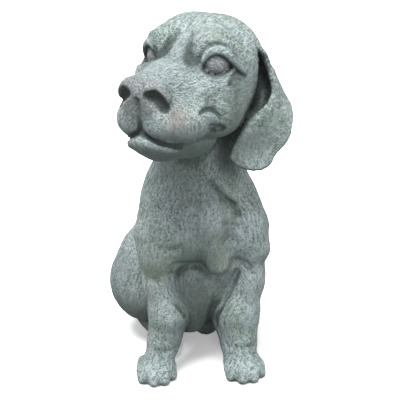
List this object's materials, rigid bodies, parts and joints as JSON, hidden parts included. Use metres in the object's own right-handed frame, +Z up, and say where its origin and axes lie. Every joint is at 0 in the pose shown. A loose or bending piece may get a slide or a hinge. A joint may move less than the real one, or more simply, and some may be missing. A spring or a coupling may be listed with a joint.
{
  "type": "cast metal puppy garden statue",
  "caption": "Sitting hound puppy cast in metal, head turned and lifted, long hanging ears, carved coat, for standing on the ground.",
  "frame": {"origin": "middle of the ground plan, on the ground under the statue", "axes": "+Z up, -Y the way the chest faces, +X the puppy's left"},
  "size_m": [0.1974, 0.2898, 0.4],
  "materials": {
    "weathered_bronze": "weathered copper alloy, matte grey-green patina"
  },
  "bodies": {
    "root": {"puppy": "weathered_bronze"}
  },
  "joints": []
}
